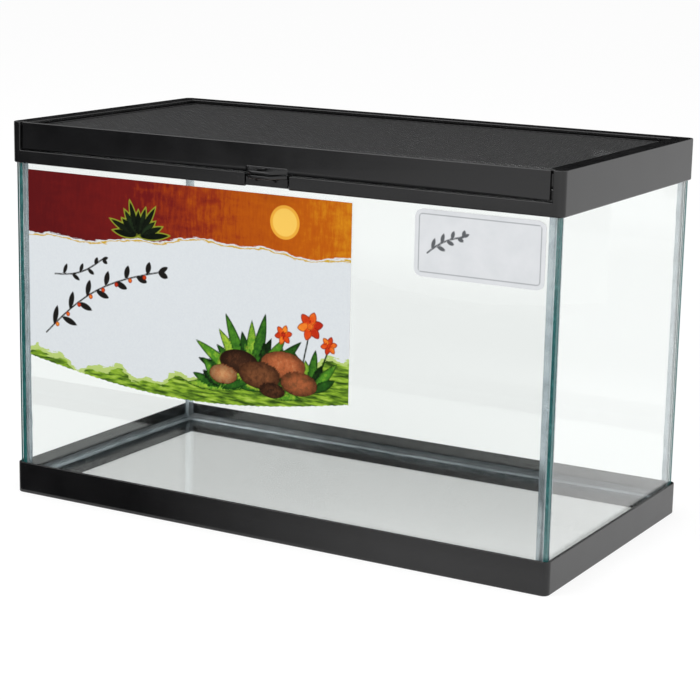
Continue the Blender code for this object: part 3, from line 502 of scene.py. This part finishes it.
def apply(piece, kind, **settings):
    """Adds a modifier and applies it."""
    modifier = piece.modifiers.new(kind.title(), kind)
    for name, value in settings.items():
        setattr(modifier, name, value)
    work_on(piece)
    bpy.ops.object.modifier_apply(modifier=modifier.name)


def block(name, low, high):
    """A block between two corners."""
    low, high = Vector(low), Vector(high)
    bpy.ops.object.select_all(action="DESELECT")
    bpy.ops.mesh.primitive_cube_add(size=1.0, location=(low + high) / 2)
    piece = bpy.context.object
    piece.scale = high - low
    return settle(piece, name)


# Moulded and rolled parts


def bevel_room(mesh):
    """How far each edge may be rounded without meeting another: a share of its faces' reach across
    it and of the edges that turn off at its ends. Flat joints get nothing."""
    share_across, share_along = 0.3, 0.4
    # Above these cosines an edge at an end runs straight on, and two faces lie flat to each other.
    straight_on, flat = 0.7, math.cos(math.radians(35))
    faces_at, room = {}, {}
    for face in mesh.polygons:
        corners = [mesh.vertices[index].co for index in face.vertices]
        count = len(corners)
        for place in range(count):
            start, end = corners[place], corners[(place + 1) % count]
            ahead = (end - start).normalized()
            inward = face.normal.cross(ahead)
            reach = share_across * max((corner - start).dot(inward) for corner in corners)
            for near, far in ((start, corners[place - 1]), (end, corners[(place + 2) % count])):
                if abs((far - near).normalized().dot(ahead)) < straight_on:
                    reach = min(reach, share_along * (far - near).length)
            key = tuple(sorted((face.vertices[place], face.vertices[(place + 1) % count])))
            room[key] = min(room.get(key, reach), reach)
            faces_at.setdefault(key, []).append(face.normal)

    def sharp(normals):
        return len(normals) == 2 and normals[0].dot(normals[1]) < flat
    keys = [tuple(sorted(edge.vertices)) for edge in mesh.edges]
    return [room[key] if sharp(faces_at[key]) else 0.0 for key in keys]


def softened_copy(node, name, widest, material, body):
    """A CAD solid with its triangles merged to whole faces, split only where an outline turns
    inwards, and its sharp edges rounded as a tool leaves them, so that each catches a line of light."""
    piece = bpy.data.objects.new(name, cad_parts[node].data.copy())
    bpy.context.scene.collection.objects.link(piece)
    edit(piece)
    bpy.ops.mesh.customdata_custom_splitnormals_clear()
    bpy.ops.mesh.remove_doubles(threshold=TINY)
    bpy.ops.mesh.dissolve_limited(angle_limit=math.radians(0.5))
    leave()
    if node == "lid_front_rail":
        lean_back(piece)
    weights = [max(0.0, min(1.0, room / widest)) for room in bevel_room(piece.data)]
    piece.data.attributes.new("bevel_weight_edge", "FLOAT", "EDGE").data.foreach_set("value", weights)
    edit(piece)
    bpy.ops.mesh.vert_connect_concave()
    leave()
    apply(piece, "BEVEL", width=widest, segments=2, limit_method="WEIGHT", use_clamp_overlap=False,
          loop_slide=False)
    edit(piece)
    bpy.ops.mesh.remove_doubles(threshold=TINY)
    leave()
    if node == "lid_front_rail":
        add_end_returns(piece)
    settle(piece, name, 38)
    apply(piece, "WEIGHTED_NORMAL", weight=100, keep_sharp=True)
    fit(piece, material, body, node)


def lean_back(rail):
    """Moves the top edge of the fascia's front back a little, the draft that lets it leave the
    mould."""
    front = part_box("top_frame")[0].y + 1.2 * MM
    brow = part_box("lid_front_rail")[1].z - 2 * MM
    draft = 0.6 * MM
    edit(rail, lambda face: False)
    bpy.ops.mesh.select_mode(type="VERT")
    leave()
    for vert in rail.data.vertices:
        vert.select = vert.co.y < front and vert.co.z > brow
    bpy.ops.object.mode_set(mode="EDIT")
    bpy.ops.transform.translate(value=(0, draft, 0))
    leave()


def add_end_returns(rail):
    """A return behind each end of the fascia, which shuts off the view past it into the tank."""
    low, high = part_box("lid_front_rail")
    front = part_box("top_frame")[0].y
    inner, outer = high.x - 3.6 * MM, high.x + 0.3 * MM
    near, far = front + 2.2 * MM, front + 4.0 * MM
    foot, head = low.z - 0.8 * MM, low.z + 6.05 * MM
    rounding = 0.12 * MM
    returns = []
    for left, right in ((-outer, -inner), (inner, outer)):
        wall = block("end_return", (left, near, foot), (right, far, head))
        edit(wall)
        bpy.ops.mesh.bevel(offset=rounding, segments=2)
        leave()
        returns.append(wall)
    work_on(rail)
    for wall in returns:
        wall.select_set(True)
    bpy.ops.object.join()


# Glass


def build_glass(face_glass, edge_glass):
    """Five sheets, each with its four ground edges in their own finish."""
    arris = 0.35 * MM
    for node, thin in (("front_pane", 1), ("back_pane", 1), ("left_pane", 0), ("right_pane", 0),
                       ("bottom_pane", 2)):
        sheet = block(node.replace("_pane", "_glass"), *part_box(node))
        edit(sheet)
        bpy.ops.mesh.bevel(offset=arris, segments=2)
        leave()
        sheet.data.materials.append(face_glass)
        sheet.data.materials.append(edge_glass)
        for face in sheet.data.polygons:
            face.material_index = 0 if abs(face.normal[thin]) > 0.9 else 1
        fit(sheet, None, "tank", node)


# Silicone


def bead(low, high, lengthwise, inner):
    """One bead in a corner. Its inner edge is drawn hollow, and wavers as a finger does."""
    leg = min(high - low)
    walls = [axis for axis in range(3) if axis != lengthwise]
    hollow, on_the_wall, near_the_edge = 0.96 * leg, 0.02 * leg, 0.5 * leg
    step, wave_length, wave_height = 5 * MM, 14 * MM, 0.8 * MM
    piece = block("bead", low, high)
    edit(piece, lambda face: False)
    bpy.ops.mesh.select_mode(type="EDGE")
    leave()
    for line in piece.data.edges:
        middle = (piece.data.vertices[line.vertices[0]].co + piece.data.vertices[line.vertices[1]].co) / 2
        line.select = all(abs(middle[axis] - inner[axis]) < TINY for axis in walls)
    bpy.ops.object.mode_set(mode="EDIT")
    bpy.ops.mesh.bevel(offset=hollow, segments=7, profile=0.13, affect="EDGES")
    direction = Vector((0.0, 0.0, 0.0))
    direction[lengthwise] = 1.0
    cuts = round((high - low)[lengthwise] / step)
    for cut in range(1, cuts):
        bpy.ops.mesh.select_all(action="SELECT")
        bpy.ops.mesh.bisect(plane_co=low.lerp(high, cut / cuts), plane_no=direction)
    leave()

    def free(point, axis):
        to_wall = min(abs(point[axis] - low[axis]), abs(point[axis] - high[axis]))
        return to_wall > on_the_wall or abs(point[axis] - inner[axis]) < near_the_edge
    drawn = [vert.index for vert in piece.data.vertices if all(free(vert.co, axis) for axis in walls)]
    group = piece.vertex_groups.new(name="drawn_face")
    group.add(drawn, 1.0, "REPLACE")
    waver = bpy.data.textures.new("finger_waver", "CLOUDS")
    waver.noise_scale = wave_length
    apply(piece, "DISPLACE", texture=waver, strength=wave_height, mid_level=0.5,
          vertex_group="drawn_face")
    return piece


def build_seams(silicone):
    """Upright beads in the four corners and level ones round the floor, drawn into each other. Each
    kind lies a hair further off the glass than the kind before it, so that their sides don't share
    a plane."""
    names = [f"corner_seal_{end}_{side}" for end in ("front", "back") for side in ("left", "right")]
    names += [f"floor_seal_{side}" for side in ("front", "back", "left", "right")]
    low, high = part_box(names[0])[0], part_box(names[3])[1]
    leg = (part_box(names[0])[1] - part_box(names[0])[0]).x
    hair = 0.02 * MM
    sideways, backwards, upright = 0, 1, 2
    beads = []
    # The way each bead runs, how far it is off the glass, and in which ways it is at the far side.
    for lengthwise, off, far_sides in (
            (upright, 0, ()), (upright, 0, (backwards,)),
            (upright, 0, (sideways,)), (upright, 0, (sideways, backwards)),
            (sideways, hair, ()), (sideways, hair, (backwards,)),
            (backwards, 2 * hair, ()), (backwards, 2 * hair, (sideways,))):
        start = low + Vector((off, off, off))
        end = high - Vector((off, off, off))
        inner = Vector((0.0, 0.0, 0.0))
        for axis in (sideways, backwards, upright):
            if axis != lengthwise and axis in far_sides:
                inner[axis] = start[axis] = high[axis] - leg
            elif axis != lengthwise:
                inner[axis] = end[axis] = low[axis] + leg
        beads.append(bead(start, end, lengthwise, inner))
    whole = beads[0]
    for other in beads[1:]:
        apply(whole, "BOOLEAN", operation="UNION", solver="MANIFOLD", object=other)
        bpy.data.objects.remove(other)
    settle(whole, "silicone_seams", 50)
    fit(whole, silicone, "tank", *names)


# Printed sheets


def leaf(root, tip, half):
    """A leaf blade, pointed at both ends. It is given, as every shape here, by its middle, its reach
    and a measure of how far a point is outside it, in millimetres."""
    length = math.dist(root, tip)
    curve = (length ** 2 / 4 + half ** 2) / (2 * half)
    middle = ((root[0] + tip[0]) / 2, (root[1] + tip[1]) / 2)
    ahead = ((tip[0] - root[0]) / length, (tip[1] - root[1]) / length)

    def outside(x, y):
        x, y = x - middle[0], y - middle[1]
        along, aside = x * ahead[0] + y * ahead[1], abs(y * ahead[0] - x * ahead[1])
        return math.hypot(along, aside + curve - half) - curve
    return middle, length / 2, outside


def stem(start, end, half):
    """A stroke of even width."""
    length = math.dist(start, end)
    middle = ((start[0] + end[0]) / 2, (start[1] + end[1]) / 2)
    ahead = ((end[0] - start[0]) / length, (end[1] - start[1]) / length)

    def outside(x, y):
        x, y = x - start[0], y - start[1]
        along = max(0.0, min(length, x * ahead[0] + y * ahead[1]))
        return math.hypot(x - along * ahead[0], y - along * ahead[1]) - half
    return middle, length / 2, outside


def stone(middle, wide, high):
    """A rounded stone, berry or disc."""
    return middle, max(wide, high), lambda x, y: (
        math.hypot((x - middle[0]) / wide, (y - middle[1]) / high) - 1) * min(wide, high)


def sheet_wide(outside):
    """A shape that is measured at every point of its sheet."""
    any_reach = 1000.0
    return (0.0, 0.0), any_reach, outside


def polar(middle, angle, length):
    """The point at a length from another, in a direction in degrees, counted from the right upwards."""
    return (middle[0] + length * math.cos(math.radians(angle)),
            middle[1] - length * math.sin(math.radians(angle)))


def fan(root, first, last, count, lengths, half):
    """Blades that spread round one root, longer and shorter by turns."""
    off_root = 1.5
    blades = []
    for blade in range(count):
        angle = first + (last - first) * blade / (count - 1)
        tip = polar(root, angle, lengths[blade % len(lengths)])
        blades.append(leaf(polar(root, angle, off_root), tip, half))
    return blades


def bowed(start, end, bow, count):
    """The direction from one point to another, and points along the bow between them."""
    angle = math.degrees(math.atan2(start[1] - end[1], end[0] - start[0]))
    places = []
    for step in range(count + 1):
        along = polar(start, angle, math.dist(start, end) * step / count)
        places.append(polar(along, angle + 90, bow * math.sin(math.pi * step / count)))
    return angle, places


def bough(start, end, bow, count, size, half):
    """A bowed stem with leaves on both sides by turns, smaller towards its tip, and one at the tip."""
    half_stem, turn_out = 0.55, 48
    first_leaf, shrinking = 1.15, 0.5
    tip_leaf, tip_half = size * 0.7, half * 0.8
    angle, places = bowed(start, end, bow, count)
    shapes = [stem(places[step], places[step + 1], half_stem) for step in range(count)]
    for step in range(1, count + 1):
        length = size * (first_leaf - shrinking * step / count)
        side = turn_out if step % 2 else -turn_out
        shapes.append(leaf(places[step], polar(places[step], angle + side, length), half))
    shapes.append(leaf(places[-1], polar(places[-1], angle, tip_leaf), tip_half))
    return shapes


def berries(start, end, bow, count, size):
    """Berries that sit along the underside of a bough."""
    angle, places = bowed(start, end, bow, count)
    return [stone(polar(place, angle - 90, size), size, size) for place in places[1:-1]]


def blossom(middle, size):
    """Six petals round a heart."""
    tilt, half, heart = 12, size * 0.3, size * 0.25
    petals = [leaf(middle, polar(middle, 60 * petal + tilt, size), half) for petal in range(6)]
    return petals + [stone(middle, heart, heart)]


def draw(sheet, low, high, drawings):
    """Stores drawings on a sheet's points, later shapes over earlier ones: how far a point is outside
    the whole, how far inside the topmost shape, and that shape's shade, from 0 to 1. Further off
    than the spare, all points count as equally far out."""
    spare = 4.0
    golden_share = 0.618
    points = [((vert.co.x - low.x) / MM, (high.z - vert.co.z) / MM) for vert in sheet.data.vertices]
    for name, shapes in drawings.items():
        outside, inside, shade = [spare] * len(points), [0.0] * len(points), [0.0] * len(points)
        for order, (middle, reach, measure) in enumerate(shapes):
            reach += spare
            for place, (x, y) in enumerate(points):
                if abs(x - middle[0]) < reach and abs(y - middle[1]) < reach:
                    far = measure(x, y)
                    outside[place] = min(outside[place], far)
                    if far < 0:
                        inside[place], shade[place] = -far, order * golden_share % 1
        for part, values in (("", outside), ("_inside", inside), ("_shade", shade)):
            layer = sheet.data.attributes.new(name + part, "FLOAT", "POINT")
            layer.data.foreach_set("value", values)


def printed_sheet(name, node, trim, drawings, front, back):
    """A thin sheet of printed stock. Trim takes a place on the uncut sheet to one within its outline,
    both in millimetres from the top left corner."""
    low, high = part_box(node)
    size = (high - low) / MM
    bpy.ops.object.select_all(action="DESELECT")
    bpy.ops.mesh.primitive_grid_add(x_subdivisions=round(size.x), y_subdivisions=round(size.z), size=1.0,
                                    location=((low.x + high.x) / 2, low.y, (low.z + high.z) / 2),
                                    rotation=ALONG_Y)
    sheet = bpy.context.object
    sheet.scale = (size.x * MM, size.z * MM, 1.0)
    settle(sheet, name)
    for vert in sheet.data.vertices:
        across, down = trim((vert.co.x - low.x) / MM, (high.z - vert.co.z) / MM)
        vert.co.x, vert.co.z = low.x + across * MM, high.z - down * MM
    edit(sheet)
    bpy.ops.mesh.extrude_region_move(TRANSFORM_OT_translate={"value": (0, high.y - low.y, 0)})
    bpy.ops.mesh.dissolve_faces()
    bpy.ops.mesh.select_all(action="SELECT")
    bpy.ops.mesh.normals_make_consistent(inside=False)
    leave()
    draw(sheet, low, high, drawings)
    sheet.data.materials.append(front)
    sheet.data.materials.append(back)
    for face in sheet.data.polygons:
        face.material_index = 0 if face.normal.y < -0.9 else 1
    fit(sheet, None, "tank", node)


def build_label(front, back):
    """The front label: a dusk sky with a sun, an agave, a leafy bough, and stones among blades.
    Places and sizes are in millimetres from the top left corner, across and down."""
    low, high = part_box("front_label")
    wide, deep = (high.x - low.x) / MM, (high.z - low.z) / MM
    sag = 14.0
    bough_foot, bough_tip, bough_bow = (14, 112), (108, 60), 9
    half_stalk = 0.6

    def sky(x, y):
        horizon = 42 - 8 * x / wide + 3 * math.sin(x / 31) + 1.2 * math.sin(x / 9 + 2)
        return y - horizon

    def lower_edge(x):
        ragged = 0.5 + 0.2 * math.sin(x * 1.3) + 0.15 * math.sin(x * 2.9) + 0.1 * math.sin(x * 0.53)
        return deep - sag + sag * math.sin(math.pi * x / wide) - ragged

    def turf(x, y):
        height = 5 + 25 * (x / wide) ** 1.4 + 3 * math.sin(x / 9) + 2 * math.sin(x / 3.7)
        return lower_edge(x) - y - height

    stalks = [stem(foot, top, half_stalk) for foot, top in (
        ((218, 120), (226, 84)), ((203, 114), (206, 92)), ((230, 122), (240, 95)))]
    drawings = {
        "sky": [sheet_wide(sky)],
        "sun": [stone((206, 17), 11, 11)],
        "agave": fan((92, 38), 172, 8, 11, (21, 25, 18), 2.1),
        "branch": bough(bough_foot, bough_tip, bough_bow, 12, 13, 2.2)
        + bough((22, 70), (62, 56), -4, 6, 8, 1.5),
        "foliage": stalks
        + fan((182, 128), 184, -4, 17, (52, 38, 45), 4.2) + fan((192, 130), 168, 14, 13, (34, 27), 3.8)
        + fan((158, 132), 160, 20, 9, (24, 18), 3.0) + fan((226, 126), 150, 30, 8, (30, 22), 3.2),
        "stones": [stone((172, 112), 15, 8), stone((206, 110), 17, 9), stone((188, 119), 16, 9),
                   stone((160, 122), 11, 6.5), stone((218, 121), 14, 8), stone((198, 128), 10, 5)],
        "blossom": blossom((226, 82), 10) + blossom((206, 90), 7) + blossom((240, 93), 6.5)
        + berries(bough_foot, bough_tip, bough_bow, 9, 1.7),
        "turf": [sheet_wide(turf)],
    }
    printed_sheet("printed_front_label", "front_label",
                  lambda across, down: (across, down * lower_edge(across) / deep), drawings, front, back)


def build_sticker(front, back):
    """The pale sticker, with round corners, a thin line round it and a sprig at its left end."""
    low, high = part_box("size_sticker")
    wide, deep = (high.x - low.x) / MM, (high.z - low.z) / MM
    corner, line_inset, half_line = 5.0, 3, 0.3

    def round_off(across, down):
        into = corner - min(down, deep - down, corner)
        inset = corner - math.sqrt(corner ** 2 - into ** 2)
        return wide / 2 + (across - wide / 2) * (1 - 2 * inset / wide), down

    def border(x, y):
        aside, above = abs(x - wide / 2) - wide / 2 + corner, abs(y - deep / 2) - deep / 2 + corner
        outside = math.hypot(max(aside, 0), max(above, 0)) + min(max(aside, above), 0) - corner
        return abs(outside + line_inset) - half_line

    drawings = {"border": [sheet_wide(border)], "sprig": bough((9, 27), (33, 15), 2, 7, 7, 1.3)}
    printed_sheet("pale_vinyl_sticker", "size_sticker", round_off, drawings, front, back)


# Lid


def woven_wires(name, along, across, low, high, pitch, wire):
    """Wires that run along one axis, over and under those of the other. Every second wire is in one
    mesh, and the rest in another. Each is a bar of four sides, a fifth wider over its corners than
    the wire is thick, which gives it the bulk of a round one."""
    over_corners = 1.2
    middle = (low.z + high.z) / 2
    steps = int((high[along] - low[along]) / pitch)
    start = (low[along] + high[along] - steps * pitch) / 2
    spare = (high[across] - low[across]) % pitch / 2
    gaps = int((high[across] - low[across]) / pitch)
    strands = []
    for phase in (1, -1):
        lift = phase * wire / 2
        place = Vector((0, 0, middle + lift))
        place[along] = start
        place[across] = low[across] + spare + (0 if phase == 1 else pitch)
        bpy.ops.object.select_all(action="DESELECT")
        bpy.ops.mesh.primitive_circle_add(vertices=4, radius=wire / 2 * over_corners, fill_type="NGON",
                                          location=place, rotation=ALONG_X if along == 0 else ALONG_Y)
        strand = bpy.context.object
        settle(strand, name)
        edit(strand)
        for step in range(steps):
            lift = -lift
            move = Vector((0, 0, 2 * lift))
            move[along] = pitch
            bpy.ops.mesh.extrude_region_move(TRANSFORM_OT_translate={"value": move})
        bpy.ops.mesh.select_all(action="SELECT")
        bpy.ops.mesh.normals_make_consistent(inside=False)
        leave()
        shift = [0.0, 0.0, 0.0]
        shift[across] = 2 * pitch
        wires = (gaps + (2 if phase == 1 else 1)) // 2
        apply(strand, "ARRAY", count=wires, use_relative_offset=False, use_constant_offset=True,
              constant_offset_displace=shift)
        strands.append(strand)
    return strands


def build_screen(wire_black):
    """Plain-woven wire, ten to the inch, its ends tucked in the spline groove."""
    low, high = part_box("screen_mesh")
    pitch, wire = 25.4 * MM / 10, 0.4 * MM
    strands = woven_wires("warp", 1, 0, low, high, pitch, wire)
    strands += woven_wires("weft", 0, 1, low, high, pitch, wire)
    bpy.ops.object.select_all(action="DESELECT")
    for strand in strands:
        strand.select_set(True)
    bpy.context.view_layer.objects.active = strands[0]
    bpy.ops.object.join()
    screen = settle(bpy.context.object, "woven_screen", 60)
    fit(screen, wire_black, "lid", "screen_mesh")


def build_cords(rubber):
    """The four round spline cords, one in each side of the lid, with softly rounded ends."""
    rounding = 0.3 * MM
    for side in ("front", "rear", "left", "right"):
        low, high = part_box(f"spline_{side}")
        size = high - low
        lengthwise = 0 if size.x > size.y else 1
        bpy.ops.object.select_all(action="DESELECT")
        bpy.ops.mesh.primitive_cylinder_add(vertices=16, radius=size.z / 2, depth=size[lengthwise],
                                            location=(low + high) / 2,
                                            rotation=ALONG_X if lengthwise == 0 else ALONG_Y)
        cord = bpy.context.object
        edit(cord, lambda face: len(face.vertices) > 4)
        bpy.ops.mesh.bevel(offset=rounding, segments=2)
        leave()
        settle(cord, f"spline_cord_{side}", 40)
        fit(cord, rubber, "lid", f"spline_{side}")


# The whole object


studio()
frame_plastic = moulded_polystyrene("frame_polystyrene", 0.2)
fascia_plastic = moulded_polystyrene("fascia_polystyrene", 0.16)
enamel = black_coated_aluminium()
silicone = clear_silicone("clear_silicone_bead", 0.9)
thin_silicone = clear_silicone("clear_silicone_bed", 0.97)
nylon = glass_filled_nylon()
paper = label_paper()
softened_copy("base_frame", "moulded_base_frame", 0.5 * MM, frame_plastic, "tank")
softened_copy("top_frame", "moulded_top_frame", 0.5 * MM, frame_plastic, "tank")
softened_copy("lid_front_rail", "moulded_lid_rail", 0.4 * MM, fascia_plastic, "lid")
softened_copy("catch", "moulded_catch", 0.4 * MM, frame_plastic, "catch")
for rail in ("lid_rear_rail", "lid_left_rail", "lid_right_rail"):
    softened_copy(rail, rail.replace("lid_", "rolled_lid_"), 0.3 * MM, enamel, "lid")
for node in ("base_frame_bed", "top_frame_bed"):
    softened_copy(node, node.replace("frame", "silicone"), 0.3 * MM, thin_silicone, "tank")
for side in ("rear_left", "rear_right", "front_left", "front_right"):
    softened_copy(f"corner_key_{side}", f"nylon_key_{side}", 0.3 * MM, nylon, "lid")
build_glass(float_glass(), ground_glass_edge())
build_seams(silicone)
build_screen(black_coated_wire())
build_cords(ribbed_rubber_cord())
build_label(printed_label(), paper)
build_sticker(pale_vinyl(), paper)
